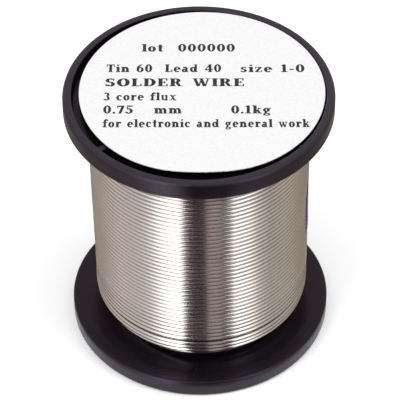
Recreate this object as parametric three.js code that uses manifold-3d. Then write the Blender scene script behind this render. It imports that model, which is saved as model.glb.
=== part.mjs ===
// A small spool of solder wire, standing on one flange. Millimetres, +Z up,
// with the origin at the middle of the face that it stands on.
//
// Two equal flanges are pressed into the ends of a barrel tube. Each flange has
// a raised rim, a recess crossed by ribs, a hub round the spindle bore and a slot
// that can take the start of the wire. A paper label lies on the upper flange's ribs.
// The wire starts under the label, is wound between the flanges in layers, and its
// outer end runs down the back under a tape.

import * as THREE from "three";
import { mergeVertices } from "three/addons/utils/BufferGeometryUtils.js";
import Module from "manifold-3d";

const wasm = await Module();
wasm.setup();

// Driving dimensions
const spoolHeight = 43.3;
const flangeRadius = 19.5;
const rimHeight = 2.9;
const rimWall = 1.25;
const webThickness = 1.4;
const outerEdgeRadius = 0.55;
const innerEdgeRadius = 0.4;

const boreRadius = 8.0;
const hubWall = 1.6;
const ribCount = 3;
const ribWidth = 0.9;
const firstRibAngle = 21;

const spigotWall = 0.65;
const spigotLength = 3.0;
const barrelWall = 1.5;

const wireDiameter = 0.75;
const endStep = 0.95;
const layerNesting = 0.08;
const layerCount = 8;
const steppedLayers = 3;

const slotLength = 4.2;
const slotAngle = 40;

const labelMargin = 0.85;
const labelThickness = 0.2;
const labelShift = [0.4, 0.4];
const labelFlat = 0.65;
const labelFlatSpread = 0.33;

const tapeWidth = 12.4;
const tapeThickness = 0.15;
const tapeMiddleHeight = 24.2;
const tapeStartAngle = -11;
const tapeEndAngle = 75;
const tailAngle = 48;

// Clearances between pieces that touch on the real spool
const pressClearance = 0.3;
const seatClearance = 0.3;
const slotClearance = 0.275;
const wireClearance = 0.12;
const tapeClearance = 0.08;
const ribClearance = 0.05;

// Worked out from the sizes above
const rimInnerRadius = flangeRadius - rimWall;
const webFace = rimHeight - webThickness;
const ribHeight = wireDiameter + ribClearance;
const ribDrop = webFace - ribHeight;
const hubRadius = boreRadius + hubWall;
const spigotRadius = boreRadius + spigotWall;
const barrelBore = spigotRadius + pressClearance;
const barrelRadius = barrelBore + barrelWall;
const wireRadius = wireDiameter / 2;
const layerStep = wireDiameter - layerNesting;
const windingBore = barrelRadius + wireClearance;
const windingBottom = rimHeight + seatClearance;
const windingTop = spoolHeight - windingBottom;
const packRadius = windingBore + wireDiameter + (layerCount - 1) * layerStep;
const shoulderRadius = packRadius - steppedLayers * layerStep;
const shoulderHeight = steppedLayers * endStep;
const slotWidth = wireDiameter + 2 * slotClearance;
const slotRadius = barrelRadius + slotWidth / 2;
const labelRadius = rimInnerRadius - labelMargin;

const turnSegments = 72;
const edgeSteps = 4;

const radians = (degrees) => (degrees * Math.PI) / 180;

// Booleans

function toSolid(geometry) {
  const bare = geometry.clone();
  bare.deleteAttribute("normal");
  bare.deleteAttribute("uv");
  const merged = mergeVertices(bare, 1e-5);
  const vertProperties = new Float32Array(merged.attributes.position.array);
  const triVerts = new Uint32Array(merged.index.array);
  return new wasm.Manifold(new wasm.Mesh({ numProp: 3, vertProperties, triVerts }));
}

function toGeometry(solid) {
  const mesh = solid.getMesh();
  const geometry = new THREE.BufferGeometry();
  geometry.setAttribute("position", new THREE.BufferAttribute(mesh.vertProperties, 3));
  geometry.setIndex(new THREE.BufferAttribute(mesh.triVerts, 1));
  geometry.computeVertexNormals();
  return geometry;
}

// Outlines and basic bodies

// A quarter round of an outline, from one angle to another about (r, z).
function quarterRound(r, z, radius, fromDegrees) {
  const points = [];
  for (let i = 0; i <= edgeSteps; i++) {
    const angle = radians(fromDegrees + (90 * i) / edgeSteps);
    points.push([r + radius * Math.cos(angle), z + radius * Math.sin(angle)]);
  }
  return points;
}

// A closed outline of [radius, height] points turned about the Z axis.
function turned(outline) {
  const closed = [...outline, outline[0]].map(([r, z]) => new THREE.Vector2(r, z));
  const geometry = new THREE.LatheGeometry(closed, turnSegments);
  geometry.rotateX(Math.PI / 2);
  return geometry;
}

function wireTube(points) {
  const curve = new THREE.CatmullRomCurve3(points.map((point) => new THREE.Vector3(...point)));
  const section = new THREE.Shape();
  const sides = 8;
  for (let i = 0; i < sides; i++) {
    const angle = (2 * Math.PI * i) / sides;
    const corner = [wireRadius * Math.cos(angle), wireRadius * Math.sin(angle)];
    if (i === 0) section.moveTo(...corner);
    else section.lineTo(...corner);
  }
  const steps = Math.ceil(curve.getLength() / (2 * wireDiameter));
  return new THREE.ExtrudeGeometry(section, { steps, extrudePath: curve, bevelEnabled: false });
}

function polar(r, degrees, z) {
  return [r * Math.cos(radians(degrees)), r * Math.sin(radians(degrees)), z];
}

// Flange, with its outer face down at height 0

function flangeBody() {
  const outline = [
    [boreRadius, ribDrop],
    [hubRadius, ribDrop],
    [hubRadius, webFace],
    [rimInnerRadius, webFace],
    [rimInnerRadius, 0],
    ...quarterRound(flangeRadius - outerEdgeRadius, outerEdgeRadius, outerEdgeRadius, -90),
    ...quarterRound(flangeRadius - innerEdgeRadius, rimHeight - innerEdgeRadius, innerEdgeRadius, 0),
    [spigotRadius, rimHeight],
    [spigotRadius, rimHeight + spigotLength],
    [boreRadius, rimHeight + spigotLength],
  ];
  return toSolid(turned(outline));
}

function rib(degrees) {
  const bite = Math.min(hubWall, rimWall) / 4;
  const length = rimInnerRadius - hubRadius + 2 * bite;
  const height = webFace - ribDrop + bite;
  const geometry = new THREE.BoxGeometry(length, ribWidth, height);
  geometry.translate((rimInnerRadius + hubRadius) / 2, 0, ribDrop + height / 2);
  geometry.rotateZ(radians(degrees));
  return toSolid(geometry);
}

// The slot runs along the barrel's side, through the web.
function startSlot() {
  const half = (slotLength - slotWidth) / 2;
  const shape = new THREE.Shape();
  shape.absarc(0, half, slotWidth / 2, 0, Math.PI, false);
  shape.absarc(0, -half, slotWidth / 2, Math.PI, 2 * Math.PI, false);
  const depth = webThickness * 2;
  const geometry = new THREE.ExtrudeGeometry(shape, { depth, bevelEnabled: false, curveSegments: 8 });
  geometry.translate(slotRadius, 0, webFace - webThickness / 2);
  geometry.rotateZ(radians(slotAngle));
  return toSolid(geometry);
}

function flangeGeometry() {
  let flange = flangeBody();
  for (let i = 0; i < ribCount; i++) {
    flange = flange.add(rib(firstRibAngle + (360 * i) / ribCount));
  }
  return toGeometry(flange.subtract(startSlot()));
}

// Barrel tube between the flanges, over their spigots

function barrelGeometry() {
  const bottom = rimHeight + seatClearance;
  const top = spoolHeight - bottom;
  return turned([
    [barrelBore, bottom],
    [barrelRadius, bottom],
    [barrelRadius, top],
    [barrelBore, top],
  ]);
}

// Label: a paper disc that was cut a little flat along its front

function labelGeometry() {
  const corners = [];
  for (let i = 0; i < turnSegments; i++) {
    const angle = (2 * Math.PI * i) / turnSegments;
    const fromFront = Math.atan2(Math.cos(angle), -Math.sin(angle));
    const radius = labelRadius - labelFlat * Math.exp(-((fromFront / labelFlatSpread) ** 2));
    corners.push(new THREE.Vector2(radius * Math.cos(angle), radius * Math.sin(angle)));
  }
  const shape = new THREE.Shape(corners);
  const geometry = new THREE.ExtrudeGeometry(shape, { depth: labelThickness, bevelEnabled: false });
  geometry.translate(...labelShift, spoolHeight - ribDrop + seatClearance);
  return geometry;
}

// Winding: each outer layer stops a little short of the one below it, so both ends slope in

function windingGeometry() {
  return turned([
    [windingBore, windingBottom],
    [shoulderRadius, windingBottom],
    [packRadius, windingBottom + shoulderHeight],
    [packRadius, windingTop - shoulderHeight],
    [shoulderRadius, windingTop],
    [windingBore, windingTop],
  ]);
}

// Start of the wire: out of the winding's inner corner, down through the slot and along the web

function startGeometry() {
  const lying = webFace - wireClearance - wireRadius;
  const leaving = windingBottom - wireClearance - wireRadius;
  const drop = leaving - lying;
  const geometry = wireTube([
    [slotRadius, -1.3, leaving],
    [slotRadius, -0.5, leaving - drop * 0.25],
    [slotRadius, 0.4, leaving - drop * 0.75],
    [slotRadius, 1.3, lying],
    [slotRadius, 3.2, lying],
    [slotRadius, 5.6, lying],
  ]);
  geometry.rotateZ(radians(slotAngle));
  return geometry;
}

// Outer end of the wire: it leaves the top turn and runs down over the others, under the tape

function tailGeometry() {
  const onPack = packRadius + wireClearance + wireRadius;
  const topTurn = windingTop - shoulderHeight - wireRadius;
  const tapeBottom = tapeMiddleHeight - tapeWidth / 2;
  const tapeTop = tapeMiddleHeight + tapeWidth / 2;
  return wireTube([
    polar(onPack, tailAngle - 46, topTurn),
    polar(onPack, tailAngle - 36, topTurn - 0.3),
    polar(onPack, tailAngle - 26, topTurn - 1.0),
    polar(onPack, tailAngle - 16, topTurn - 2.3),
    polar(onPack, tailAngle - 7, tapeTop + 2.6),
    polar(onPack, tailAngle - 1.5, tapeTop + 0.9),
    polar(onPack, tailAngle, tapeTop - 1.2),
    polar(onPack, tailAngle, tapeMiddleHeight),
    polar(onPack, tailAngle, tapeBottom + 0.5),
    polar(onPack, tailAngle, tapeBottom - 1.6),
    polar(onPack + 0.3, tailAngle + 1, tapeBottom - 4.0),
  ]);
}

// Tape: a strip round the back of the winding, raised where the wire runs under it

function tapeGeometry() {
  const lift = wireDiameter + 2 * wireClearance - tapeClearance;
  const tentWidth = (1.4 * wireDiameter) / packRadius;
  const step = 360 / turnSegments / 4;
  const raised = (angle) => lift * Math.exp(-((radians(angle - tailAngle) / tentWidth) ** 4));
  const inside = [];
  const outside = [];
  for (let angle = tapeStartAngle; angle <= tapeEndAngle; angle += step) {
    const radius = packRadius + tapeClearance + raised(angle);
    inside.push(polar(radius, angle, 0));
    outside.unshift(polar(radius + tapeThickness, angle, 0));
  }
  const shape = new THREE.Shape([...inside, ...outside].map(([x, y]) => new THREE.Vector2(x, y)));
  const geometry = new THREE.ExtrudeGeometry(shape, { depth: tapeWidth, bevelEnabled: false });
  geometry.translate(0, 0, tapeMiddleHeight - tapeWidth / 2);
  return geometry;
}

// Materials

const blackPlastic = () => new THREE.MeshStandardMaterial({ color: 0x1a1820, roughness: 0.38, metalness: 0 });
const labelPaper = () => new THREE.MeshStandardMaterial({ color: 0xf6f4f6, roughness: 0.8, metalness: 0 });
const solder = () => new THREE.MeshStandardMaterial({ color: 0xbab4b0, roughness: 0.28, metalness: 1 });
const blueTape = () => new THREE.MeshStandardMaterial({ color: 0x5a5f9a, roughness: 0.35, metalness: 0 });

// Assembly

const spool = new THREE.Group();

function add(name, geometry, material, parent = spool) {
  const mesh = new THREE.Mesh(geometry, material);
  mesh.name = name;
  parent.add(mesh);
  return mesh;
}

add("lower_flange", flangeGeometry(), blackPlastic());

const turnedOver = new THREE.Group();
turnedOver.rotation.x = Math.PI;
turnedOver.position.z = spoolHeight;
spool.add(turnedOver);
add("upper_flange", flangeGeometry(), blackPlastic(), turnedOver);

add("barrel_tube", barrelGeometry(), blackPlastic());
add("label_disc", labelGeometry(), labelPaper());
add("wire_winding", windingGeometry(), solder());
add("wire_start", startGeometry(), solder(), turnedOver);
add("wire_tail", tailGeometry(), solder());
add("end_tape", tapeGeometry(), blueTape());

export default spool;
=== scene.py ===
# A 0.1 kg spool of solder wire on a pale bench: two black moulded flanges on a barrel,
# bright wire in level turns between them, a paper label on top and a tape at the back.
import math

import bmesh
import bpy
from mathutils import Matrix, Vector, noise
from mathutils.geometry import delaunay_2d_cdt


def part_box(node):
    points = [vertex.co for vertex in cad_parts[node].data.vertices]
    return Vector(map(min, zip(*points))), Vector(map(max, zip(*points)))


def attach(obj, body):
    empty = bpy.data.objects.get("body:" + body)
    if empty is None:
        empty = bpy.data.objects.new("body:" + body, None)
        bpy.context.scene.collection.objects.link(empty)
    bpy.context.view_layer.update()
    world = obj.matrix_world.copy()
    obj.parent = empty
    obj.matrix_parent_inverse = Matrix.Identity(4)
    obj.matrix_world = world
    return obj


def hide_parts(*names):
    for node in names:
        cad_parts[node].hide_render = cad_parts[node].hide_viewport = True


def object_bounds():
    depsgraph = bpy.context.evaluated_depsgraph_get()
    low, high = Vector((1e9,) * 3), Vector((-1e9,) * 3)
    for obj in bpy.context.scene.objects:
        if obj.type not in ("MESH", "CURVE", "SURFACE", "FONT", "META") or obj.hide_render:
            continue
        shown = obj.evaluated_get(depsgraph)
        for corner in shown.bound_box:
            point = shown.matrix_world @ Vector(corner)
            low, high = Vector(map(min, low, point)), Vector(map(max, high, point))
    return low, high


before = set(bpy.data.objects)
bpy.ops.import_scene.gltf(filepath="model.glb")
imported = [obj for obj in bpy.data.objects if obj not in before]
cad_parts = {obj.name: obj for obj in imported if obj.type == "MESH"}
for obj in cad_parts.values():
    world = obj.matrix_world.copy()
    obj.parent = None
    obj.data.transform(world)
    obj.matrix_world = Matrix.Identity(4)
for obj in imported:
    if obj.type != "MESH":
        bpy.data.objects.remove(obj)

cadLow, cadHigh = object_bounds()
mm = 0.001
print("frame loaded with", len(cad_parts), "nodes")


def degrees(angle):
    return math.radians(angle)


def onCircle(radius, angle, height):
    return Vector((radius * math.cos(degrees(angle)), radius * math.sin(degrees(angle)), height))


def smooth(share):
    share = min(max(share, 0.0), 1.0)
    return share * share * (3 - 2 * share)


def linear(hexColour):
    channels = [int(hexColour[i:i + 2], 16) / 255 for i in (1, 3, 5)]
    return tuple(c / 12.92 if c <= 0.04045 else ((c + 0.055) / 1.055) ** 2.4 for c in channels) + (1.0,)


# Camera: a long lens, looking down on the label
cameraView = {
    "lens": 215.5,
    "place": Vector((0, -256.8, 268.5)) * mm,
    "down": 43.846,
    "side": 0.011,
    "roll": -0.401,
}


def makeCamera(view):
    data = bpy.data.cameras.new("studioCamera")
    data.sensor_width = 36
    data.lens = view["lens"]
    data.clip_start = 0.01
    data.clip_end = 20
    camera = bpy.data.objects.new("studioCamera", data)
    bpy.context.scene.collection.objects.link(camera)
    place = Matrix.Translation(view["place"])
    tilt = Matrix.Rotation(degrees(90 - view["down"]), 4, "X")
    side = Matrix.Rotation(degrees(-view["side"]), 4, "Y")
    roll = Matrix.Rotation(degrees(view["roll"]), 4, "Z")
    camera.matrix_world = place @ (tilt @ side) @ roll
    bpy.context.scene.camera = camera


makeCamera(cameraView)
print("camera placed")


# Sizes that several pieces share. What the frame shows is taken from it.
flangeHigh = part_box("lower_flange")[1]
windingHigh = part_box("wire_winding")[1]
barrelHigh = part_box("barrel_tube")[1]
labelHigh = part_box("label_disc")[1]
tapeLow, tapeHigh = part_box("end_tape")

spool = {
    "height": cadHigh.z,
    "flangeRadius": flangeHigh.x,
    "rimHeight": 2.9 * mm,
    "rimWall": 1.25 * mm,
    "webThickness": 1.4 * mm,
    "boreRadius": 8.0 * mm,
    "hubRadius": 9.6 * mm,
    "ribDrop": 0.7 * mm,
    "spigotTop": flangeHigh.z,
    "spigotRadius": 8.65 * mm,
    "barrelRadius": barrelHigh.x,
    "packRadius": windingHigh.x,
}


# Meshes

def makeObject(name, mesh, smoothAngle=35):
    piece = bpy.data.objects.new(name, mesh)
    bpy.context.scene.collection.objects.link(piece)
    for face in mesh.polygons:
        face.use_smooth = True
    if smoothAngle:
        mesh.set_sharp_from_angle(angle=degrees(smoothAngle))
    return piece


def meshFrom(name, points, faces):
    mesh = bpy.data.meshes.new(name)
    mesh.from_pydata([tuple(point) for point in points], [], faces)
    mesh.update()
    return mesh


def faceOutwards(mesh):
    shell = bmesh.new()
    shell.from_mesh(mesh)
    bmesh.ops.remove_doubles(shell, verts=shell.verts, dist=1e-7)
    bmesh.ops.recalc_face_normals(shell, faces=shell.faces)
    shell.to_mesh(mesh)
    shell.free()


def roundCorner(r, z, radius, start, steps=6):
    angles = [degrees(start + 90 * i / steps) for i in range(steps + 1)]
    return [(r + radius * math.cos(a), z + radius * math.sin(a)) for a in angles]


def turned(name, outline, steps=216):
    # a closed outline of (radius, height) turned about the spool's axis
    points = [onCircle(r, 360 * k / steps, z) for k in range(steps) for r, z in outline]
    count = len(outline)
    faces = []
    for k in range(steps):
        for i in range(count):
            here, there = k * count, (k + 1) % steps * count
            faces.append((here + i, there + i, there + (i + 1) % count, here + (i + 1) % count))
    mesh = meshFrom(name, points, faces)
    faceOutwards(mesh)
    return mesh


def plainMesh(piece):
    # the object's mesh with its modifiers applied, and the modifiers removed
    depsgraph = bpy.context.evaluated_depsgraph_get()
    mesh = bpy.data.meshes.new_from_object(piece.evaluated_get(depsgraph))
    piece.modifiers.clear()
    piece.data = mesh
    return mesh


def combine(piece, tool, operation):
    change = piece.modifiers.new(operation, "BOOLEAN")
    change.operation = operation
    change.solver = "EXACT"
    change.object = tool
    plainMesh(piece)
    bpy.data.objects.remove(tool)


# Node trees, for geometry and for materials

def addNode(tree, kind, inputs=None, stops=(), **settings):
    # stops are the places and colours of a colour ramp
    node = tree.nodes.new(kind)
    for name, value in settings.items():
        setattr(node, name, value)
    for key, value in (inputs or {}).items():
        if isinstance(value, bpy.types.NodeSocket):
            tree.links.new(value, node.inputs[key])
        else:
            node.inputs[key].default_value = value
    for k, (place, colour) in enumerate(stops):
        elements = node.color_ramp.elements
        stop = elements[k] if k < 2 else elements.new(place)
        stop.position, stop.color = place, colour
    return node


def newGeometryTree(name, sizes):
    # sizes: name of the input -> (socket kind, value)
    tree = bpy.data.node_groups.new(name, "GeometryNodeTree")
    tree.interface.new_socket("Geometry", in_out="INPUT", socket_type="NodeSocketGeometry")
    tree.interface.new_socket("Geometry", in_out="OUTPUT", socket_type="NodeSocketGeometry")
    for label, (kind, value) in sizes.items():
        socket = tree.interface.new_socket(label, in_out="INPUT", socket_type=kind)
        if value is not None:
            socket.default_value = value
    return tree


def runGeometryTree(piece, tree, values):
    change = piece.modifiers.new(tree.name, "NODES")
    change.node_group = tree
    for socket in tree.interface.items_tree:
        if socket.in_out == "INPUT" and socket.name in values:
            change[socket.identifier] = values[socket.name]
    return plainMesh(piece)


def newMaterial(name, **shaderValues):
    material = bpy.data.materials.new(name)
    material.use_nodes = True
    tree = material.node_tree
    shader = tree.nodes["Principled BSDF"]
    for key, value in shaderValues.items():
        shader.inputs[key].default_value = value
    return material, tree, shader


def objectCoords(tree, stretch=(1, 1, 1)):
    coords = addNode(tree, "ShaderNodeTexCoord")
    mapping = addNode(tree, "ShaderNodeMapping", {"Vector": coords.outputs["Object"], "Scale": stretch})
    return mapping.outputs["Vector"]


def grey(value):
    return (value, value, value, 1.0)


# Materials

def tinLeadSolder():
    # Tin-lead solder, drawn through a die and wound bright. It is a soft silver-grey metal, a little
    # warm, with a fine satin and faint wide patches where the layer winder has rubbed it.
    material, tree, shader = newMaterial("tinLeadSolder", Metallic=1.0)
    rub = addNode(tree, "ShaderNodeTexNoise", {  # patches about 7 mm wide
        "Vector": objectCoords(tree, (1, 1, 0.3)), "Scale": 1 / (7 * mm), "Detail": 2.0, "Roughness": 0.5,
    })
    colour = addNode(tree, "ShaderNodeValToRGB", {"Fac": rub.outputs["Fac"]}, stops=[
        (0.3, linear("#C9C3BF")), (0.7, linear("#CFCAC6")),
    ])
    tree.links.new(colour.outputs["Color"], shader.inputs["Base Color"])
    satin = addNode(tree, "ShaderNodeValToRGB", {"Fac": rub.outputs["Fac"]}, stops=[
        (0.25, grey(0.115)), (0.75, grey(0.15)),
    ])
    tree.links.new(satin.outputs["Color"], shader.inputs["Roughness"])
    # handling leaves dents a few microns deep, about 3 mm wide and 7 mm high
    dents = addNode(tree, "ShaderNodeTexNoise", {
        "Vector": objectCoords(tree, (1, 1, 0.4)), "Scale": 1 / (3 * mm), "Detail": 1.0,
    })
    bump = addNode(tree, "ShaderNodeBump", {
        "Height": dents.outputs["Fac"], "Strength": 0.1, "Distance": 0.05 * mm,
    })
    tree.links.new(bump.outputs["Normal"], shader.inputs["Normal"])
    return material


def mouldedPolystyrene():
    # Black high-impact polystyrene, injection moulded in a polished tool. It is near black with a
    # violet cast in its gloss, a little dust, faint handling marks and a painted highlight on the top rim.
    material, tree, shader = newMaterial("mouldedPolystyrene", **{
        "IOR": 1.5, "Specular IOR Level": 0.5, "Specular Tint": linear("#E2CCEC"),
    })
    cloud = addNode(tree, "ShaderNodeTexNoise", {  # colour clouds about 9 mm across
        "Vector": objectCoords(tree), "Scale": 1 / (9 * mm), "Detail": 2.0, "Roughness": 0.5,
    })
    moulded = addNode(tree, "ShaderNodeValToRGB", {"Fac": cloud.outputs["Fac"]}, stops=[
        (0.3, linear("#070509")), (0.7, linear("#0B080E")),
    ])
    # painted light: where the flat of the top rim faces up, it is coloured a lighter grey, as if lit from
    # overhead
    coords = addNode(tree, "ShaderNodeTexCoord")
    facing = addNode(tree, "ShaderNodeSeparateXYZ", {0: coords.outputs["Normal"]})
    level = addNode(tree, "ShaderNodeSeparateXYZ", {0: coords.outputs["Object"]})
    upwards = addNode(tree, "ShaderNodeMapRange", {
        "Value": facing.outputs[2], "From Min": 0.3, "From Max": 1.0,
    })
    onTop = addNode(tree, "ShaderNodeMapRange", {
        "Value": level.outputs[2],
        "From Min": spool["height"] - 1.0 * mm, "From Max": spool["height"] - 0.6 * mm,
    })
    # painted light: this mask lightens the upward-facing flat of the top rim
    paintedTopLight = addNode(tree, "ShaderNodeMath", {
        0: upwards.outputs[0], 1: onTop.outputs[0],
    }, operation="MULTIPLY")
    topLitColour = addNode(tree, "ShaderNodeMix", {
        0: paintedTopLight.outputs[0], 6: moulded.outputs["Color"], 7: linear("#27232B"),
    }, data_type="RGBA")
    # dust: grains about 0.15 mm across, some 5 mm apart
    dust = addNode(tree, "ShaderNodeTexVoronoi", {
        "Vector": objectCoords(tree), "Scale": 1 / (4.6 * mm), "Randomness": 1.0,
    })
    grains = addNode(tree, "ShaderNodeValToRGB", {"Fac": dust.outputs["Distance"]}, stops=[
        (0.012, grey(1)), (0.02, grey(0)),
    ])
    speckled = addNode(tree, "ShaderNodeMix", {
        0: grains.outputs["Color"], 6: topLitColour.outputs[2], 7: linear("#5A5660"),
    }, data_type="RGBA")
    tree.links.new(speckled.outputs[2], shader.inputs["Base Color"])
    handling = addNode(tree, "ShaderNodeTexNoise", {  # duller marks about 3 mm across
        "Vector": objectCoords(tree), "Scale": 1 / (3 * mm), "Detail": 3.0, "Roughness": 0.5,
    })
    dull = addNode(tree, "ShaderNodeValToRGB", {"Fac": handling.outputs["Fac"]}, stops=[
        (0.35, grey(0.27)), (0.7, grey(0.34)),
    ])
    tree.links.new(dull.outputs["Color"], shader.inputs["Roughness"])
    # a faint unevenness of the moulded skin, about 1 mm across
    skin = addNode(tree, "ShaderNodeTexNoise", {
        "Vector": objectCoords(tree), "Scale": 1 / (1.2 * mm), "Detail": 1.0,
    })
    bump = addNode(tree, "ShaderNodeBump", {
        "Height": skin.outputs["Fac"], "Strength": 0.1, "Distance": 0.02 * mm,
    })
    tree.links.new(bump.outputs["Normal"], shader.inputs["Normal"])
    return material


def uncoatedPaper():
    # Smooth uncoated label paper. It is matte white, very slightly cool. Its fibres are finer than
    # can be seen, so they are drawn 0.5 mm long and 0.2 mm wide, as soft specks.
    material, tree, shader = newMaterial("uncoatedPaper", Roughness=0.85, IOR=1.45)
    fibre = addNode(tree, "ShaderNodeTexNoise", {
        "Vector": objectCoords(tree, (1, 2.5, 1)), "Scale": 1 / (0.5 * mm), "Detail": 4.0, "Roughness": 0.7,
    })
    colour = addNode(tree, "ShaderNodeValToRGB", {"Fac": fibre.outputs["Fac"]}, stops=[
        (0.3, linear("#C7C6C7")), (0.6, linear("#D1D1D2")),
    ])
    tree.links.new(colour.outputs["Color"], shader.inputs["Base Color"])
    bump = addNode(tree, "ShaderNodeBump", {
        "Height": fibre.outputs["Fac"], "Strength": 0.25, "Distance": 0.03 * mm,
    })
    tree.links.new(bump.outputs["Normal"], shader.inputs["Normal"])
    return material


def carbonInk():
    # Black printing ink on paper: dense, a touch glossier than the paper, uneven every 0.25 mm
    material, tree, shader = newMaterial("carbonInk", Roughness=0.6)
    wear = addNode(tree, "ShaderNodeTexNoise", {
        "Vector": objectCoords(tree), "Scale": 1 / (0.25 * mm), "Detail": 3.0,
    })
    colour = addNode(tree, "ShaderNodeValToRGB", {"Fac": wear.outputs["Fac"]}, stops=[
        (0.4, linear("#16131A")), (0.75, linear("#39353D")),
    ])
    tree.links.new(colour.outputs["Color"], shader.inputs["Base Color"])
    return material


def polyesterTape():
    # Thin polyester tape, blue-violet and glossy. Stretch lines about 5 mm long and 0.4 mm wide
    # run along it.
    material, tree, shader = newMaterial("polyesterTape", IOR=1.6)
    stretch = addNode(tree, "ShaderNodeTexNoise", {
        "Vector": objectCoords(tree, (0.6, 0.6, 8)), "Scale": 1 / (3 * mm), "Detail": 3.0,
    })
    colour = addNode(tree, "ShaderNodeValToRGB", {"Fac": stretch.outputs["Fac"]}, stops=[
        (0.3, linear("#3E4286")), (0.7, linear("#555AA2")),
    ])
    tree.links.new(colour.outputs["Color"], shader.inputs["Base Color"])
    gloss = addNode(tree, "ShaderNodeValToRGB", {"Fac": stretch.outputs["Fac"]}, stops=[
        (0.3, grey(0.22)), (0.7, grey(0.36)),
    ])
    tree.links.new(gloss.outputs["Color"], shader.inputs["Roughness"])
    bump = addNode(tree, "ShaderNodeBump", {
        "Height": stretch.outputs["Fac"], "Strength": 0.3, "Distance": 0.05 * mm,
    })
    tree.links.new(bump.outputs["Normal"], shader.inputs["Normal"])
    return material


solder = tinLeadSolder()
blackPlastic = mouldedPolystyrene()
paper = uncoatedPaper()
ink = carbonInk()
tapeFilm = polyesterTape()
print("materials made")


# The wire: one length, from its start under the label, through every turn, to its end at the back
wire = {
    "diameter": 0.75 * mm,
    "pitch": 0.773 * mm,
    "layerStep": 0.67 * mm,
    "lean": 0.2 * mm,
    "leanFrom": 28 * mm,
    "leanTo": 12 * mm,
    "layers": 8,
    "steppedLayers": 3,
    "endStep": 0.95 * mm,
    "footTurns": [(5.87, 15.50), (6.61, 15.60), (7.38, 15.64)],  # height and radius, in mm, at the front
    "regularFrom": 8.47 * mm,
    "footAngle": -95,
    "footClimb": 45,
    "layerClimb": 50,
    "climbStep": 5,
    "lastTurnShare": 0.2,
    "wander": 0.02 * mm,
    "wanderRound": 0.8,
    "wanderHeight": 2.1 * mm,
    "sides": 8,
    "shownTurns": 2.4,  # at each end of a layer, drawn as finely as the outer layer
    "shownSteps": 104,
    "hiddenSteps": 16,
    "leastShare": 0.02,
}
startRoute = {  # in mm: along the slot, and in from the flange's outer face
    "slotAngle": 40,
    "slotRadius": 11.1,
    "leadAngle": 14,
    "stepsEach": 5,
    "points": [(5.6, 1.005), (3.2, 1.005), (1.3, 1.005), (0.4, 1.43), (-0.5, 2.28), (-1.3, 2.705)],
}
tailRoute = {  # in degrees, and in mm above the bench
    "radius": 16.41,
    "points": [
        (2, 36.88), (12, 36.58), (22, 35.88), (32, 34.58), (41, 33.0), (46.5, 31.3), (48, 29.2),
        (48, 24.2), (48, 18.5), (48, 16.4), (49, 14.0),
    ],
    "spring": 0.3,
    "stepsEach": 10,
}


def layerRadius(layer):
    return spool["packRadius"] - wire["diameter"] / 2 - (wire["layers"] - layer) * wire["layerStep"]


def layerEnds(layer):
    # the heights of the lowest and the highest turn
    bottom = spool["rimHeight"] + wire["diameter"] / 2
    inset = max(0, layer - (wire["layers"] - wire["steppedLayers"])) * wire["endStep"]
    return bottom + inset, spool["height"] - bottom - inset


def outerLayer():
    # from the foot upwards, as (angle, radius, height): the first turns lie wider apart
    turns = int((layerEnds(wire["layers"])[1] - wire["regularFrom"]) / wire["pitch"])
    radius = layerRadius(wire["layers"])
    front = [(h * mm, r * mm) for h, r in wire["footTurns"]]
    front += [(wire["regularFrom"] + wire["pitch"] * k, radius) for k in range(turns + 1)]
    rows = []
    steps = wire["shownSteps"]
    for k in range((len(front) - 1) * steps + int(wire["lastTurnShare"] * steps)):
        turn, share = k // steps, k % steps / steps
        (h, r), (nextH, nextR) = front[turn], front[min(turn + 1, len(front) - 1)]
        if turn == len(front) - 1:
            nextH = h + wire["pitch"]
        rows.append((wire["footAngle"] + 360 * k / steps, r + (nextR - r) * share, h + (nextH - h) * share))
    return rows


def lowerLayer(layer, lastAngle):
    # ends at lastAngle, and the first layer starts at the slot
    low, high = layerEnds(layer)
    upwards = (wire["layers"] - layer) % 2 == 0
    start, end = (low, high) if upwards else (high, low)
    turns = (high - low) / wire["pitch"]
    if layer == 1:
        fromSlot = (lastAngle + startRoute["slotAngle"] - startRoute["leadAngle"]) / 360
        turns = round(turns - fromSlot) + fromSlot
    shown = wire["shownTurns"] if layer >= wire["layers"] - wire["steppedLayers"] else 0
    rows = []
    t = 0.0
    while t < turns - wire["leastShare"]:
        rows.append((lastAngle - 360 * (turns - t), layerRadius(layer), start + (end - start) * t / turns))
        t += 1 / (wire["shownSteps"] if min(t, turns - t) < shown else wire["hiddenSteps"])
    return rows + [(lastAngle, layerRadius(layer), end)]


def climbTo(row, nextRow):
    # the step from the end of a layer up to the next one
    count = max(4, int((nextRow[0] - row[0]) / wire["climbStep"]))
    steps = [(k / count, smooth(k / count)) for k in range(1, count)]
    return [(row[0] + (nextRow[0] - row[0]) * k, row[1] + (nextRow[1] - row[1]) * s,
             row[2] + (nextRow[2] - row[2]) * s) for k, s in steps]


def throughPoints(points, stepsEach):
    # a Catmull-Rom curve
    ends = [points[0] * 2 - points[1], *points, points[-1] * 2 - points[-2]]
    curve = []
    for a, b, c, d in zip(ends, ends[1:], ends[2:], ends[3:]):
        for k in range(stepsEach):
            t = k / stepsEach
            curve.append(((b * 2) + (c - a) * t + (a * 2 - b * 5 + c * 4 - d) * t ** 2
                          + (b * 3 - a - c * 3 + d) * t ** 3) / 2)
    return curve + [points[-1]]


def leanAt(height):
    # the outer layers lean a little to one side near the foot
    share = (wire["leanFrom"] - height) / (wire["leanFrom"] - wire["leanTo"])
    return Vector((wire["lean"] * smooth(share), 0, 0))


def wanders(angle, radius, height):
    # a real winding is never quite even
    share = (radius - layerRadius(1)) / (layerRadius(wire["layers"]) - layerRadius(1))
    place = onCircle(wire["wanderRound"], angle, height / wire["wanderHeight"])
    outwards = wire["wander"] * 0.5 * noise.noise(place + Vector((9, 0, 0)))
    upwards = wire["wander"] * noise.noise(place * 1.7)
    return onCircle(radius + outwards, angle, height + upwards) + leanAt(height) * share


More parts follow.
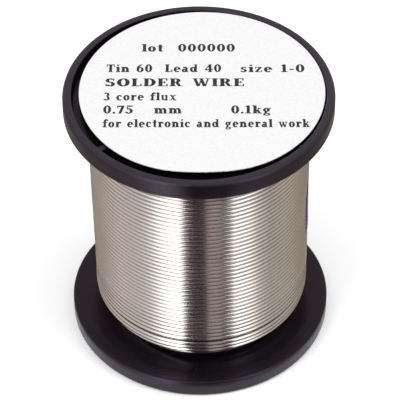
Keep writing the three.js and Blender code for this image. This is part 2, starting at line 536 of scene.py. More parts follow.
def wirePath():
    rows = outerLayer()
    climb = wire["footClimb"]
    for layer in range(wire["layers"] - 1, 0, -1):
        lower = lowerLayer(layer, rows[0][0] - climb)
        rows = lower + climbTo(lower[-1], rows[0]) + rows
        climb = wire["layerClimb"]
    wound = [wanders(*row) for row in rows]
    flip = Matrix.Translation((0, 0, spool["height"])) @ Matrix.Rotation(math.pi, 4, "X") \
        @ Matrix.Rotation(degrees(startRoute["slotAngle"]), 4, "Z")
    out = startRoute["slotRadius"]
    start = [flip @ (Vector((out, along, z)) * mm) for along, z in startRoute["points"]]
    start = throughPoints(start + wound[:1], startRoute["stepsEach"])[:-1]
    onPack = [tailRoute["radius"] * mm] * (len(tailRoute["points"]) - 1)
    onPack.append((tailRoute["radius"] + tailRoute["spring"]) * mm)
    tail = [onCircle(r, angle, z * mm) + leanAt(z * mm)
            for r, (angle, z) in zip(onPack, tailRoute["points"])]
    tail = throughPoints(wound[-1:] + tail, tailRoute["stepsEach"])[1:]
    return start + wound + tail


def wireTree():
    tree = newGeometryTree("wireTube", {
        "Diameter": ("NodeSocketFloat", 0.001),
        "Sides": ("NodeSocketInt", 8),
        "Finish": ("NodeSocketMaterial", None),
    })
    given = addNode(tree, "NodeGroupInput")
    half = addNode(tree, "ShaderNodeMath", {0: given.outputs["Diameter"], 1: 0.5}, operation="MULTIPLY")
    section = addNode(tree, "GeometryNodeCurvePrimitiveCircle", {
        "Resolution": given.outputs["Sides"], "Radius": half.outputs[0],
    })
    line = addNode(tree, "GeometryNodeMeshToCurve", {"Mesh": given.outputs["Geometry"]})
    tube = addNode(tree, "GeometryNodeCurveToMesh", {
        "Curve": line.outputs["Curve"], "Profile Curve": section.outputs["Curve"], "Fill Caps": True,
    })
    whole = addNode(tree, "GeometryNodeRealizeInstances", {"Geometry": tube.outputs["Mesh"]})
    finish = addNode(tree, "GeometryNodeSetMaterial", {
        "Geometry": whole.outputs["Geometry"], "Material": given.outputs["Finish"],
    })
    addNode(tree, "NodeGroupOutput", {"Geometry": finish.outputs["Geometry"]})
    return tree


def makeWire():
    path = wirePath()
    line = bpy.data.meshes.new("wirePath")
    line.from_pydata([tuple(p) for p in path], [(k, k + 1) for k in range(len(path) - 1)], [])
    piece = makeObject("solder_wire", line, None)
    mesh = runGeometryTree(piece, wireTree(), {
        "Diameter": wire["diameter"], "Sides": wire["sides"], "Finish": solder,
    })
    for face in mesh.polygons:
        face.use_smooth = len(face.vertices) == 4
    length = sum((b - a).length for a, b in zip(path, path[1:]))
    print("wire", round(length, 2), "m in", len(mesh.polygons), "faces")
    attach(piece, "root")
    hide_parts("wire_winding", "wire_start", "wire_tail")


makeWire()


# Flanges: one moulding, used twice. Heights are from its outer face.
flange = {
    "radius": spool["flangeRadius"],
    "outerEdge": 0.57 * mm,
    "innerEdge": 0.4 * mm,
    "smallEdge": 0.12 * mm,
    "hubEdge": 0.25 * mm,
    "partingHeight": 2.2 * mm,
    "partingWidth": 0.12 * mm,
    "partingDepth": 0.07 * mm,
    "toolRings": [17.6 * mm, 18.05 * mm, 18.5 * mm],
    "toolRingWidth": 0.1 * mm,
    "toolRingHeight": 0.006 * mm,
    "ribs": 3,
    "ribWidth": 0.9 * mm,
    "ribBite": spool["rimWall"] / 3,  # how far a rib reaches into the walls it joins
    "firstRib": 21,
    "slotLength": 4.2 * mm,
    "slotWidth": 1.3 * mm,
    "slotCut": (0.5 * mm, 4 * mm),  # the heights between which the slot is cut
    "sharpFrom": 38,
}


def flangeOutline():
    radius, top = flange["radius"], spool["rimHeight"]
    rimInner = radius - spool["rimWall"]
    web = top - spool["webThickness"]
    small, hub, drop = flange["smallEdge"], flange["hubEdge"], spool["ribDrop"]
    outer, inner = flange["outerEdge"], flange["innerEdge"]
    half = flange["partingWidth"] / 2
    line = [(spool["boreRadius"], drop + hub)]
    line += [(spool["boreRadius"] + hub, drop), (spool["hubRadius"] - hub, drop)]
    line += [(spool["hubRadius"], drop + hub), (spool["hubRadius"], web - hub)]
    line += [(spool["hubRadius"] + hub, web)]
    line += [(rimInner - hub, web), (rimInner, web - hub)]
    line += [(rimInner, small), (rimInner + small, 0)]
    line += roundCorner(radius - outer, outer, outer, -90, 8)
    parting = flange["partingHeight"]
    line += [(radius, parting - half), (radius - flange["partingDepth"], parting), (radius, parting + half)]
    line += roundCorner(radius - inner, top - inner, inner, 0, 7)
    for ring in reversed(flange["toolRings"]):
        half = flange["toolRingWidth"] / 2
        line += [(ring + half, top), (ring, top + flange["toolRingHeight"]), (ring - half, top)]
    line += [(spool["spigotRadius"], top), (spool["spigotRadius"], spool["spigotTop"] - small)]
    line += [(spool["spigotRadius"] - small, spool["spigotTop"]), (spool["boreRadius"], spool["spigotTop"])]
    return line


def ribTree():
    tree = newGeometryTree("flangeRibs", {
        "Count": ("NodeSocketInt", 3),
        "Circle Radius": ("NodeSocketFloat", 0.01),
        "Length": ("NodeSocketFloat", 0.01),
        "Width": ("NodeSocketFloat", 0.001),
        "Height": ("NodeSocketFloat", 0.001),
        "Middle": ("NodeSocketFloat", 0.001),
        "First Angle": ("NodeSocketFloat", 0.0),
        "Finish": ("NodeSocketMaterial", None),
    })
    given = addNode(tree, "NodeGroupInput").outputs
    size = addNode(tree, "ShaderNodeCombineXYZ", {
        0: given["Length"], 1: given["Width"], 2: given["Height"],
    })
    bar = addNode(tree, "GeometryNodeMeshCube", {"Size": size.outputs[0]})
    ring = addNode(tree, "GeometryNodeMeshCircle", {
        "Vertices": given["Count"], "Radius": given["Circle Radius"],
    })
    index = addNode(tree, "GeometryNodeInputIndex")
    share = addNode(tree, "ShaderNodeMath", {0: index.outputs[0], 1: given["Count"]}, operation="DIVIDE")
    angle = addNode(tree, "ShaderNodeMath", {0: share.outputs[0], 1: 2 * math.pi}, operation="MULTIPLY")
    facing = addNode(tree, "ShaderNodeCombineXYZ", {2: angle.outputs[0]})
    bars = addNode(tree, "GeometryNodeInstanceOnPoints", {
        "Points": ring.outputs["Mesh"], "Instance": bar.outputs["Mesh"], "Rotation": facing.outputs[0],
    })
    lift = addNode(tree, "ShaderNodeCombineXYZ", {2: given["Middle"]})
    turn = addNode(tree, "ShaderNodeCombineXYZ", {2: given["First Angle"]})
    placed = addNode(tree, "GeometryNodeTransform", {
        "Geometry": bars.outputs["Instances"], "Translation": lift.outputs[0], "Rotation": turn.outputs[0],
    })
    whole = addNode(tree, "GeometryNodeRealizeInstances", {"Geometry": placed.outputs["Geometry"]})
    finish = addNode(tree, "GeometryNodeSetMaterial", {
        "Geometry": whole.outputs["Geometry"], "Material": given["Finish"],
    })
    addNode(tree, "NodeGroupOutput", {"Geometry": finish.outputs["Geometry"]})
    return tree


def makeRibs():
    rimInner = flange["radius"] - spool["rimWall"]
    web = spool["rimHeight"] - spool["webThickness"]
    bite = flange["ribBite"]
    piece = makeObject("ribs", bpy.data.meshes.new("ribs"), None)
    runGeometryTree(piece, ribTree(), {
        "Count": flange["ribs"],
        "Circle Radius": (rimInner + spool["hubRadius"]) / 2,
        "Length": rimInner - spool["hubRadius"] + 2 * bite,
        "Width": flange["ribWidth"],
        "Height": web - spool["ribDrop"] + bite,
        "Middle": spool["ribDrop"] + (web - spool["ribDrop"] + bite) / 2,
        "First Angle": degrees(flange["firstRib"]),
        "Finish": blackPlastic,
    })
    return piece


def makeSlotCutter():
    half = (flange["slotLength"] - flange["slotWidth"]) / 2
    end = flange["slotWidth"] / 2
    outline = [(x, y + half) for x, y in roundCorner(0, 0, end, 0) + roundCorner(0, 0, end, 90)[1:]]
    outline += [(x, y - half) for x, y in roundCorner(0, 0, end, 180) + roundCorner(0, 0, end, 270)[1:]]
    count = len(outline)
    turn = Matrix.Rotation(degrees(startRoute["slotAngle"]), 4, "Z")
    out = startRoute["slotRadius"] * mm
    points = [turn @ Vector((out + x, y, z)) for z in flange["slotCut"] for x, y in outline]
    faces = [(i, (i + 1) % count, count + (i + 1) % count, count + i) for i in range(count)]
    faces += [tuple(reversed(range(count))), tuple(range(count, 2 * count))]
    mesh = meshFrom("slotCutter", points, faces)
    faceOutwards(mesh)
    return makeObject("slotCutter", mesh, None)


def makeFlanges():
    lower = makeObject("lower_flange_moulding", turned("flange", flangeOutline()), None)
    lower.data.materials.append(blackPlastic)
    combine(lower, makeRibs(), "UNION")
    combine(lower, makeSlotCutter(), "DIFFERENCE")
    upper = makeObject("upper_flange_moulding", lower.data.copy(), None)
    upper.data.transform(Matrix.Translation((0, 0, spool["height"])) @ Matrix.Rotation(math.pi, 4, "X"))
    for piece, node in ((lower, "lower_flange"), (upper, "upper_flange")):
        for face in piece.data.polygons:
            face.use_smooth = True
        piece.data.set_sharp_from_angle(angle=degrees(flange["sharpFrom"]))
        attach(piece, "root")
        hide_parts(node)
        print(piece.name, len(piece.data.polygons), "faces")


makeFlanges()


# Barrel: the tube between the flanges, over their spigots
barrel = {
    "edge": 0.15 * mm,
    "gap": 0.05 * mm,
}


def makeBarrel():
    edge, gap = barrel["edge"], barrel["gap"]
    low, high = spool["rimHeight"] + gap, spool["height"] - spool["rimHeight"] - gap
    inside, outside = spool["spigotRadius"] + gap, spool["barrelRadius"]
    outline = [(inside + edge, low), (outside - edge, low), (outside, low + edge), (outside, high - edge),
               (outside - edge, high), (inside + edge, high), (inside, high - edge), (inside, low + edge)]
    piece = makeObject("barrel_moulding", turned("barrel", outline))
    piece.data.materials.append(blackPlastic)
    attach(piece, "root")
    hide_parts("barrel_tube")


makeBarrel()
print("plastic made")


# Label: a paper disc lying a little off centre inside the rim, with its front edge cut flat
label = {
    "radius": 17.57 * mm,
    "shift": (0.46 * mm, 0.42 * mm),
    "top": labelHigh.z,
    "thickness": 0.12 * mm,
    "flat": 0.62 * mm,
    "flatSpread": 0.36,
    "steps": 1440,
    "rings": [0.25, 0.5, 0.7, 0.85, 0.95, 1.0],
    "fray": 0.02 * mm,
    "frayWaves": 60,
    "fraySpread": 0.5,
    "cut": 0.012 * mm,  # how unevenly the disc was cut
    "cutWaves": 2.5,
    "fibre": 0.9 * mm,
    "fibreWaves": 95,
    "fibreFrom": 0.12,  # the noise must pass this for a fibre to stand out
    "fibreMiddle": 0.12,
    "fibreSpread": 0.26,
    "wave": 0.03 * mm,
    "waveLength": 8 * mm,
}


def bell(x, spread):
    return math.exp(-(x / spread) ** 2)


def labelEdge(angle):
    # the radius of the label: cut flat, frayed and with loose fibres at the front
    fromFront = (angle + math.pi / 2 + math.pi) % (2 * math.pi) - math.pi
    flat = label["flat"] * bell(fromFront, label["flatSpread"])
    fray = noise.noise(Vector((angle * label["frayWaves"], 3.1, 0))) * bell(fromFront, label["fraySpread"])
    waves = label["cutWaves"]
    cut = noise.noise(Vector((math.cos(angle) * waves, math.sin(angle) * waves, 7)))
    stray = max(0.0, noise.noise(Vector((angle * label["fibreWaves"], 1.7, 0))) - label["fibreFrom"])
    fibre = stray ** 2 * bell(fromFront - label["fibreMiddle"], label["fibreSpread"])
    return label["radius"] - flat + label["fray"] * fray + label["cut"] * cut + label["fibre"] * fibre


def makeLabel():
    # rings of points about the middle, on the top side and again on the under side
    steps, rings = label["steps"], label["rings"]
    points, faces = [], []
    for side in (0, 1):
        for share in rings:
            for k in range(steps):
                angle = 2 * math.pi * k / steps
                r = labelEdge(angle) * share
                x, y = r * math.cos(angle), r * math.sin(angle)
                place = Vector((x / label["waveLength"], y / label["waveLength"], 2))
                lift = noise.noise(place) * label["wave"] * share
                points.append((x + label["shift"][0], y + label["shift"][1],
                               label["top"] + min(lift, 0.0) - side * label["thickness"]))
        points.append((label["shift"][0], label["shift"][1], label["top"] - side * label["thickness"]))
    perSide = steps * len(rings) + 1
    for side in (0, 1):
        base = side * perSide
        centre = base + perSide - 1
        for k in range(steps):
            near = (k + 1) % steps
            faces.append((centre, base + k, base + near) if side == 0 else (centre, base + near, base + k))
            for ring in range(len(rings) - 1):
                a, b = base + ring * steps, base + (ring + 1) * steps
                face = (a + k, b + k, b + near, a + near)
                faces.append(face if side == 0 else face[::-1])
    rim = (len(rings) - 1) * steps
    for k in range(steps):
        near = (k + 1) % steps
        faces.append((rim + k, perSide + rim + k, perSide + rim + near, rim + near))
    piece = makeObject("paper_label", meshFrom("label", points, faces), 40)
    faceOutwards(piece.data)
    piece.data.materials.append(paper)
    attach(piece, "root")
    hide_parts("label_disc")


makeLabel()


# Printing: plain facts about such a wire, in a bold roman letter drawn here
printing = {
    "lines": [  # words, left end, right end and foot, in mm
        ("lot  000000", -8.3, 5.2, 9.0),
        ("Tin 60  Lead 40", -13.3, 3.2, 4.45),
        ("size 1-0", 6.0, 15.2, 4.4),
        ("SOLDER WIRE", -13.4, 6.5, 1.35),
        ("3 core flux", -13.5, -3.2, -1.7),
        ("0.75", -13.5, -9.3, -4.5),
        ("mm", -6.3, -2.4, -4.5),
        ("0.1kg", 4.6, 10.2, -4.5),
        ("for electronic and general work", -13.5, 15.6, -7.4),
    ],
    "capHeight": 1.7 * mm,
    "widest": 1.3,
    "space": 0.42,
    "letterGap": 0.12,
    "slope": -0.5,
    "thickness": 0.012 * mm,
    "joinWithin": 1e-5,
}


def bar(x0, y0, x1, y1):
    return [(x0, y0), (x1, y0), (x1, y1), (x0, y1)]


def slant(footX, footY, topX, topY, width):
    return [(footX, footY), (footX + width, footY), (topX + width, topY), (topX, topY)]


def bowl(x, y, across, up, fromAngle, toAngle, thick, thin):
    # a curved stroke, thick at its sides and thin at its top and foot, of a half turn at most
    count = max(4, int(abs(toAngle - fromAngle) / 18))
    angles = [degrees(fromAngle + (toAngle - fromAngle) * k / count) for k in range(count + 1)]
    outer = [(x + across * math.cos(a), y + up * math.sin(a)) for a in angles]
    inner = [(x + (across - thick) * math.cos(a), y + (up - thin) * math.sin(a)) for a in reversed(angles)]
    return outer + inner


def ring(x, y, across, up, thick, thin):
    return [bowl(x, y, across, up, 0, 180, thick, thin), bowl(x, y, across, up, 180, 360, thick, thin)]


def stem(x, top, headFlag=False):
    # an upright with a foot serif, and a full or a one-sided head serif
    head = bar(x - 0.1, top - 0.1, x + 0.1, top) if headFlag else bar(x - 0.09, top - 0.1, x + 0.31, top)
    return [bar(x - 0.02, 0, x + 0.24, top), bar(x - 0.09, 0, x + 0.31, 0.1), head]


def arch(x):
    return [bowl(x + 0.14, 0.42, 0.25, 0.27, 0, 150, 0.25, 0.14), bar(x + 0.16, 0, x + 0.41, 0.44),
            bar(x + 0.09, 0, x + 0.48, 0.1)]


# each letter: its width, then its strokes; a capital is 1 high and a small letter 0.68
letters = {
    "0": (0.66, [*ring(0.33, 0.5, 0.33, 0.52, 0.24, 0.11)]),
    "1": (0.5, [bar(0.14, 0, 0.39, 1), bar(0, 0, 0.52, 0.1), bar(0.03, 0.82, 0.2, 0.9)]),
    "3": (0.6, [bowl(0.26, 0.74, 0.29, 0.27, -90, 155, 0.24, 0.11),
                bowl(0.26, 0.28, 0.33, 0.3, -160, 90, 0.25, 0.11)]),
    "4": (0.72, [bar(0.36, 0, 0.6, 1), bar(0, 0.23, 0.72, 0.36), slant(0, 0.3, 0.4, 1, 0.11),
                 bar(0.28, 0, 0.68, 0.08)]),
    "5": (0.6, [bar(0.09, 0.5, 0.18, 1), bar(0.09, 0.84, 0.56, 1),
                bowl(0.25, 0.32, 0.34, 0.34, -160, 125, 0.25, 0.12)]),
    "6": (0.66, [*ring(0.33, 0.32, 0.33, 0.34, 0.24, 0.11),
                 bowl(0.55, 0.4, 0.55, 0.62, 95, 180, 0.25, 0.11)]),
    "7": (0.64, [bar(0.02, 0.84, 0.62, 1), bar(0.02, 0.7, 0.1, 1), slant(0.14, 0, 0.4, 0.9, 0.24)]),
    ".": (0.24, [bar(0.02, 0, 0.23, 0.2)]),
    "-": (0.4, [bar(0.03, 0.28, 0.38, 0.42)]),
    "D": (0.8, [*stem(0.08, 1), bar(0.1, 0, 0.42, 0.09), bar(0.1, 0.91, 0.42, 1),
                bowl(0.38, 0.5, 0.42, 0.5, -90, 90, 0.27, 0.12)]),
    "E": (0.68, [*stem(0.08, 1), bar(0.1, 0, 0.66, 0.09), bar(0.57, 0, 0.66, 0.3), bar(0.1, 0.91, 0.64, 1),
                 bar(0.55, 0.72, 0.64, 1), bar(0.2, 0.46, 0.5, 0.55), bar(0.42, 0.36, 0.5, 0.65)]),
    "I": (0.38, stem(0.09, 1)),
    "L": (0.66, [*stem(0.08, 1), bar(0.1, 0, 0.66, 0.09), bar(0.57, 0, 0.66, 0.32)]),
    "O": (0.84, [*ring(0.42, 0.5, 0.42, 0.52, 0.28, 0.12)]),
    "R": (0.82, [*stem(0.08, 1), bar(0.1, 0.91, 0.4, 1), bar(0.2, 0.46, 0.4, 0.55),
                 bowl(0.38, 0.73, 0.32, 0.27, -90, 90, 0.25, 0.12), slant(0.54, 0, 0.34, 0.5, 0.22),
                 bar(0.52, 0, 0.84, 0.08)]),
    "S": (0.64, [bowl(0.31, 0.74, 0.3, 0.28, 25, 275, 0.24, 0.12),
                 bowl(0.33, 0.28, 0.31, 0.3, -160, 95, 0.25, 0.12),
                 bar(0.51, 0.68, 0.58, 0.98), bar(0.02, 0.02, 0.09, 0.34)]),
    "T": (0.74, [bar(0.24, 0, 0.5, 1), bar(0, 0.89, 0.74, 1), bar(0, 0.68, 0.08, 1),
                 bar(0.66, 0.68, 0.74, 1), bar(0.17, 0, 0.57, 0.08)]),
    "W": (1.14, [slant(0.27, 0, 0.05, 1, 0.2), slant(0.36, 0, 0.56, 1, 0.1), slant(0.68, 0, 0.46, 1, 0.2),
                 slant(0.78, 0, 0.98, 1, 0.1), bar(0, 0.92, 0.34, 1), bar(0.42, 0.92, 0.74, 1),
                 bar(0.86, 0.92, 1.14, 1)]),
    "a": (0.64, [*ring(0.25, 0.2, 0.26, 0.22, 0.23, 0.11), bar(0.36, 0.06, 0.55, 0.5),
                 bowl(0.31, 0.46, 0.24, 0.23, 0, 165, 0.24, 0.11), bar(0.44, 0, 0.65, 0.08)]),
    "c": (0.58, [bowl(0.32, 0.34, 0.32, 0.36, 55, 315, 0.25, 0.11), bar(0.4, 0.44, 0.55, 0.6)]),
    "d": (0.72, [*ring(0.3, 0.33, 0.3, 0.35, 0.24, 0.11), bar(0.44, 0.03, 0.64, 1), bar(0.34, 0.92, 0.6, 1),
                 bar(0.5, 0, 0.73, 0.08)]),
    "e": (0.62, [bowl(0.32, 0.34, 0.32, 0.36, 0, 315, 0.25, 0.11), bar(0.1, 0.32, 0.63, 0.4)]),
    "f": (0.48, [bar(0.11, 0, 0.35, 0.8), bar(0.01, 0, 0.46, 0.1), bar(0, 0.58, 0.47, 0.68),
                 bowl(0.37, 0.78, 0.25, 0.23, 25, 180, 0.25, 0.11), bar(0.43, 0.8, 0.57, 0.93)]),
    "g": (0.64, [*ring(0.28, 0.44, 0.28, 0.25, 0.23, 0.1), *ring(0.3, -0.1, 0.3, 0.18, 0.17, 0.1),
                 bar(0.12, 0, 0.3, 0.22), bar(0.46, 0.59, 0.66, 0.68)]),
    "i": (0.36, [*stem(0.09, 0.68, True), bar(0.09, 0.8, 0.29, 0.98)]),
    "k": (0.74, [*stem(0.09, 1, True), slant(0.24, 0.26, 0.5, 0.66, 0.12), slant(0.5, 0, 0.28, 0.42, 0.22),
                 bar(0.42, 0.6, 0.72, 0.68), bar(0.44, 0, 0.78, 0.08)]),
    "l": (0.36, stem(0.09, 1, True)),
    "m": (1.16, [*stem(0.09, 0.68, True), *arch(0.29), *arch(0.68)]),
    "n": (0.76, [*stem(0.09, 0.68, True), *arch(0.29)]),
    "o": (0.64, [*ring(0.32, 0.34, 0.32, 0.36, 0.25, 0.11)]),
    "r": (0.56, [*stem(0.09, 0.68, True), bowl(0.42, 0.44, 0.2, 0.25, 30, 180, 0.16, 0.11),
                 bar(0.42, 0.46, 0.58, 0.64)]),
    "s": (0.48, [bowl(0.22, 0.5, 0.21, 0.2, 25, 275, 0.19, 0.1),
                 bowl(0.24, 0.2, 0.23, 0.22, -160, 95, 0.2, 0.1),
                 bar(0.37, 0.46, 0.43, 0.67), bar(0.01, 0.01, 0.07, 0.24)]),
    "t": (0.46, [bar(0.11, 0.06, 0.35, 0.92), bar(0, 0.58, 0.46, 0.68), bar(0.18, 0, 0.46, 0.09)]),
    "u": (0.76, [bar(0.09, 0.18, 0.29, 0.68), bar(0, 0.6, 0.2, 0.68), bar(0.46, 0, 0.66, 0.68),
                 bar(0.36, 0.6, 0.56, 0.68), bowl(0.33, 0.24, 0.24, 0.26, 180, 330, 0.2, 0.1),
                 bar(0.56, 0, 0.75, 0.08)]),
    "w": (0.96, [slant(0.24, 0, 0.05, 0.68, 0.18), slant(0.31, 0, 0.46, 0.68, 0.09),
                 slant(0.56, 0, 0.37, 0.68, 0.18), slant(0.64, 0, 0.79, 0.68, 0.09),
                 bar(0, 0.6, 0.3, 0.68), bar(0.68, 0.6, 0.96, 0.68)]),
    "x": (0.68, [slant(0.42, 0, 0.06, 0.68, 0.22), slant(0.08, 0, 0.46, 0.68, 0.1), bar(0, 0.6, 0.32, 0.68),
                 bar(0.4, 0.6, 0.66, 0.68), bar(0, 0, 0.26, 0.08), bar(0.36, 0, 0.7, 0.08)]),
    "z": (0.56, [bar(0.02, 0.59, 0.54, 0.68), bar(0, 0, 0.56, 0.09), slant(0, 0.04, 0.34, 0.64, 0.2),
                 bar(0.02, 0.46, 0.09, 0.68), bar(0.49, 0, 0.56, 0.22)]),
}


def placeLine(words, left, right, foot):
    # the line's strokes in millimetres, with the letters spaced out to reach its right end
    cap = printing["capHeight"] / mm
    widths = [letters[c][0] if c in letters else printing["space"] for c in words]
    full = sum(widths) + printing["letterGap"] * (len(words) - 1)
    across = min((right - left) / full, printing["widest"] * cap)
    gap = (right - left - across * sum(widths)) / (len(words) - 1)
    x, strokes = left, []
    for c, width in zip(words, widths):
        for stroke in letters[c][1] if c in letters else []:
            strokes.append([(x + px * across, foot + py * cap) for px, py in stroke])
        x += width * across + gap
    return strokes


def makePrinting():
    points, faces = [], []
    for line in printing["lines"]:
        corners, outlines = [], []
        for stroke in placeLine(*line):
            start = len(corners)
            corners += [Vector(corner) for corner in stroke]
            outlines.append(list(range(start, len(corners))))
        # the strokes joined into one flat mesh: its corners, its faces and the strokes each face lies in
        joined = delaunay_2d_cdt(corners, [], outlines, 1, printing["joinWithin"])
        places, triangles, within = joined[0], joined[2], joined[5]
        start = len(points)
        points += [Vector((x * mm, y * mm, label["top"] + printing["thickness"])) for x, y in places]
        faces += [[start + i for i in face] for face, strokes in zip(triangles, within) if strokes]
    turn = Matrix.Rotation(degrees(printing["slope"]), 4, "Z")
    mesh = meshFrom("printing", [turn @ point for point in points], faces)
    piece = makeObject("label_printing", mesh, None)
    for face in mesh.polygons:
        if face.normal.z < 0:
            face.flip()
    mesh.materials.append(ink)
    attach(piece, "root")
    print("printing", len(mesh.polygons), "faces")


makePrinting()
print("label made")


# Tape: a strip round the back, raised where the wire's end runs under it
tape = {
    "low": tapeLow.z,
    "high": tapeHigh.z,
    "start": -11,
    "end": 75,
    "thickness": 0.05 * mm,
    "gap": 0.02 * mm,
    "tent": 1.25 * mm,
    "tentGap": 0.03 * mm,
    "tailAngle": 48,
    "across": 24,
    "along": 166,
    "slantCut": 8,  # degrees by which the upper part of the end is cut shorter
    "slantFrom": 0.5,
    "slantOver": 0.3,
    "crease": 0.03 * mm,
    "creaseWidth": 1.5 * mm,
    "creaseLength": 4 * mm,
}


def makeTape():
    across, along = tape["across"], tape["along"]
    span = tape["end"] - tape["start"]
    points = []
    for side in (0, 1):
        for i in range(along + 1):
            for j in range(across + 1):
                cut = tape["slantCut"] * smooth((j / across - tape["slantFrom"]) / tape["slantOver"])
                angle = tape["start"] + cut + (span - cut) * i / along
                arc = degrees(angle - tape["tailAngle"]) * spool["packRadius"]
                lift = (wire["diameter"] + tape["tentGap"]) * math.exp(-abs(arc / tape["tent"]) ** 3)
                z = tape["low"] + (tape["high"] - tape["low"]) * j / across
                place = Vector((arc / tape["creaseWidth"], z / tape["creaseLength"], 1))
                crease = noise.noise(place) * tape["crease"]
                r = spool["packRadius"] + tape["gap"] + lift + abs(crease) + side * tape["thickness"]
                points.append(onCircle(r, angle, z) + leanAt(z))
    row, sheet = across + 1, (across + 1) * (along + 1)
    faces = []
    for i in range(along):
        for j in range(across):
            a = i * row + j
            faces.append((a, a + 1, a + row + 1, a + row))
            faces.append((sheet + a, sheet + a + row, sheet + a + row + 1, sheet + a + 1))
    edge = [j for j in range(across + 1)]
    edge += [i * row + across for i in range(1, along + 1)]
    edge += [along * row + j for j in range(across - 1, -1, -1)]
    edge += [i * row for i in range(along - 1, 0, -1)]
    for a, b in zip(edge, edge[1:] + edge[:1]):
        faces.append((a, sheet + a, sheet + b, b))
    piece = makeObject("holding_tape", meshFrom("tape", points, faces), 40)
    faceOutwards(piece.data)
    piece.data.materials.append(tapeFilm)
    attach(piece, "root")
    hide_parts("end_tape")


makeTape()
print("tape made")


# Bench, studio walls and lamps
studio = {
    "bench": "#F4F4F5",
    "benchSize": 3.0,
    "benchDrop": 0.0217 * mm,
    "nearRadius": 21.7 * mm,
    "backdrop": 1.0,
    "walls": [  # bearing, colour, strength
        (-180, "#C4B8B0", 1.0), (-128, "#BFB1A6", 1.0), (-109, "#C6BBB0", 1.0), (-92, "#E6DCD6", 1.0),
        (-82, "#F0E8E4", 1.0), (-70, "#E2DAD6", 1.0), (-58, "#F0EAE7", 1.0), (-50, "#FFFFFF", 1.15),
        (-41, "#FFFFFF", 1.8), (-35, "#FFFFFF", 3.6), (-20, "#FFFFFF", 3.6), (-16, "#6A5C64", 1.0),
        (-13, "#4A3C46", 1.0), (4.5, "#4A3C46", 1.0), (8, "#B8AAA8", 1.0), (19, "#B8AAA8", 1.0),
        (22, "#6E6468", 1.0), (28, "#6E6468", 1.0), (32, "#FFFFFF", 2.2), (47, "#FFFFFF", 2.1),
        (56, "#FFFAF5", 1.0), (68, "#D0C8C0", 1.0), (96, "#D0C6BC", 1.0), (108, "#BCB1A5", 1.0),
        (125, "#B3A99E", 1.0), (150, "#D6CEC6", 1.0), (180, "#C4B8B0", 1.0),
    ],
    "floor": [
        (-180, "#A3988E", 1.0), (-100, "#B5AAA2", 1.0), (-75, "#CFC6C0", 1.0), (-50, "#E0DAD6", 1.0),
        (-38, "#FFFFFF", 1.7), (-21, "#FFFFFF", 2.8), (-17, "#5A4C54", 1.0), (-13, "#43353F", 1.0),
        (4.5, "#43353F", 1.0), (8, "#A09290", 1.0), (19, "#A09290", 1.0), (22, "#5E5458", 1.0),
        (28, "#5E5458", 1.0), (33, "#E8E4E2", 1.0), (50, "#D8D2CE", 1.0), (70, "#AEA49C", 1.0),
        (125, "#988D82", 1.0), (150, "#BAB0A8", 1.0), (180, "#A3988E", 1.0),
    ],
    "floorLine": -0.25,
    "floorBlend": 0.12,
    "ceiling": 0.5,
    "ceilingFrom": 0.75,
    "ceilingTo": 0.95,
    "ceilingColour": "#8E8588",
    "lamps": {"leftLamp": (-0.7, -0.5, 0.9), "rightLamp": (0.8, -0.2, 1.0)},
    "lampSize": 0.7,
    "lampPower": 6.5,
    "lampAim": (0, 0, 0.02),
}


def makeBench():
    # only the part of the bench close round the spool shows in reflections
    material, tree, shader = newMaterial("paleBench", Roughness=0.9)
    shader.inputs["Base Color"].default_value = linear(studio["bench"])
    half, drop = studio["benchSize"], studio["benchDrop"]
    corners = {
        "bench": [Vector((x * half, y * half, -drop)) for x, y in ((-1, -1), (1, -1), (1, 1), (-1, 1))],
        "nearBench": [onCircle(studio["nearRadius"], 5 * k, 0) for k in range(72)],
    }
    for name, outline in corners.items():
        mesh = meshFrom(name, outline, [tuple(range(len(outline)))])
        bench = makeObject(name, mesh, None)
        mesh.materials.append(material)
        bench.visible_glossy = name == "nearBench"


def roundTheRoom(panels):
    return [(0.5 + bearing / 360, [c * strength for c in linear(colour)[:3]] + [1.0])
            for bearing, colour, strength in panels]


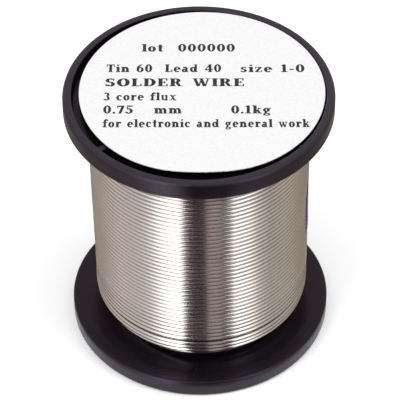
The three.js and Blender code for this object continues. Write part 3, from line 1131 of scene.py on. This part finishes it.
def makeRoom():
    # Light walls with brighter panels over a duller floor, which only glossy rays meet.
    # Bearings are in degrees, and 0 is the camera's side.
    world = bpy.data.worlds.new("studioRoom")
    bpy.context.scene.world = world
    world.use_nodes = True
    tree = world.node_tree
    coords = addNode(tree, "ShaderNodeTexCoord")
    parts = addNode(tree, "ShaderNodeSeparateXYZ", {0: coords.outputs["Generated"]})
    towards = addNode(tree, "ShaderNodeMath", {0: parts.outputs[1], 1: -1.0}, operation="MULTIPLY")
    bearing = addNode(tree, "ShaderNodeMath", {
        0: parts.outputs[0], 1: towards.outputs[0],
    }, operation="ARCTAN2")
    turns = addNode(tree, "ShaderNodeMath", {
        0: bearing.outputs[0], 1: 1 / (2 * math.pi),
    }, operation="MULTIPLY")
    place = addNode(tree, "ShaderNodeMath", {0: turns.outputs[0], 1: 0.5}, operation="ADD")
    wall, floor = [
        addNode(tree, "ShaderNodeValToRGB", {"Fac": place.outputs[0]}, stops=roundTheRoom(studio[part]))
        for part in ("walls", "floor")
    ]
    height = addNode(tree, "ShaderNodeMapRange", {
        "Value": parts.outputs[2], "From Min": studio["floorLine"] - studio["floorBlend"],
        "From Max": studio["floorLine"] + studio["floorBlend"],
    })
    room = addNode(tree, "ShaderNodeMix", {
        0: height.outputs[0], 6: floor.outputs["Color"], 7: wall.outputs["Color"],
    }, data_type="RGBA")
    ceiling = addNode(tree, "ShaderNodeMapRange", {
        "Value": parts.outputs[2], "From Min": studio["ceilingFrom"], "From Max": studio["ceilingTo"],
        "To Max": studio["ceiling"],
    })
    whole = addNode(tree, "ShaderNodeMix", {
        0: ceiling.outputs[0], 6: room.outputs[2], 7: linear(studio["ceilingColour"]),
    }, data_type="RGBA")
    light = addNode(tree, "ShaderNodeLightPath")
    seen = addNode(tree, "ShaderNodeMix", {
        0: light.outputs["Is Glossy Ray"], 6: grey(studio["backdrop"]), 7: whole.outputs[2],
    }, data_type="RGBA")
    tree.links.new(seen.outputs[2], tree.nodes["Background"].inputs["Color"])


def addLamp(name, place):
    data = bpy.data.lights.new(name, "AREA")
    data.shape = "SQUARE"
    data.size = studio["lampSize"]
    data.energy = studio["lampPower"]
    lamp = bpy.data.objects.new(name, data)
    lamp.location = place
    lamp.rotation_euler = (Vector(studio["lampAim"]) - Vector(place)).to_track_quat("-Z", "Y").to_euler()
    lamp.visible_glossy = False
    bpy.context.scene.collection.objects.link(lamp)


makeBench()
makeRoom()
for lampName, lampPlace in studio["lamps"].items():
    addLamp(lampName, lampPlace)
bpy.context.scene.view_settings.view_transform = "Standard"
print("studio lit")
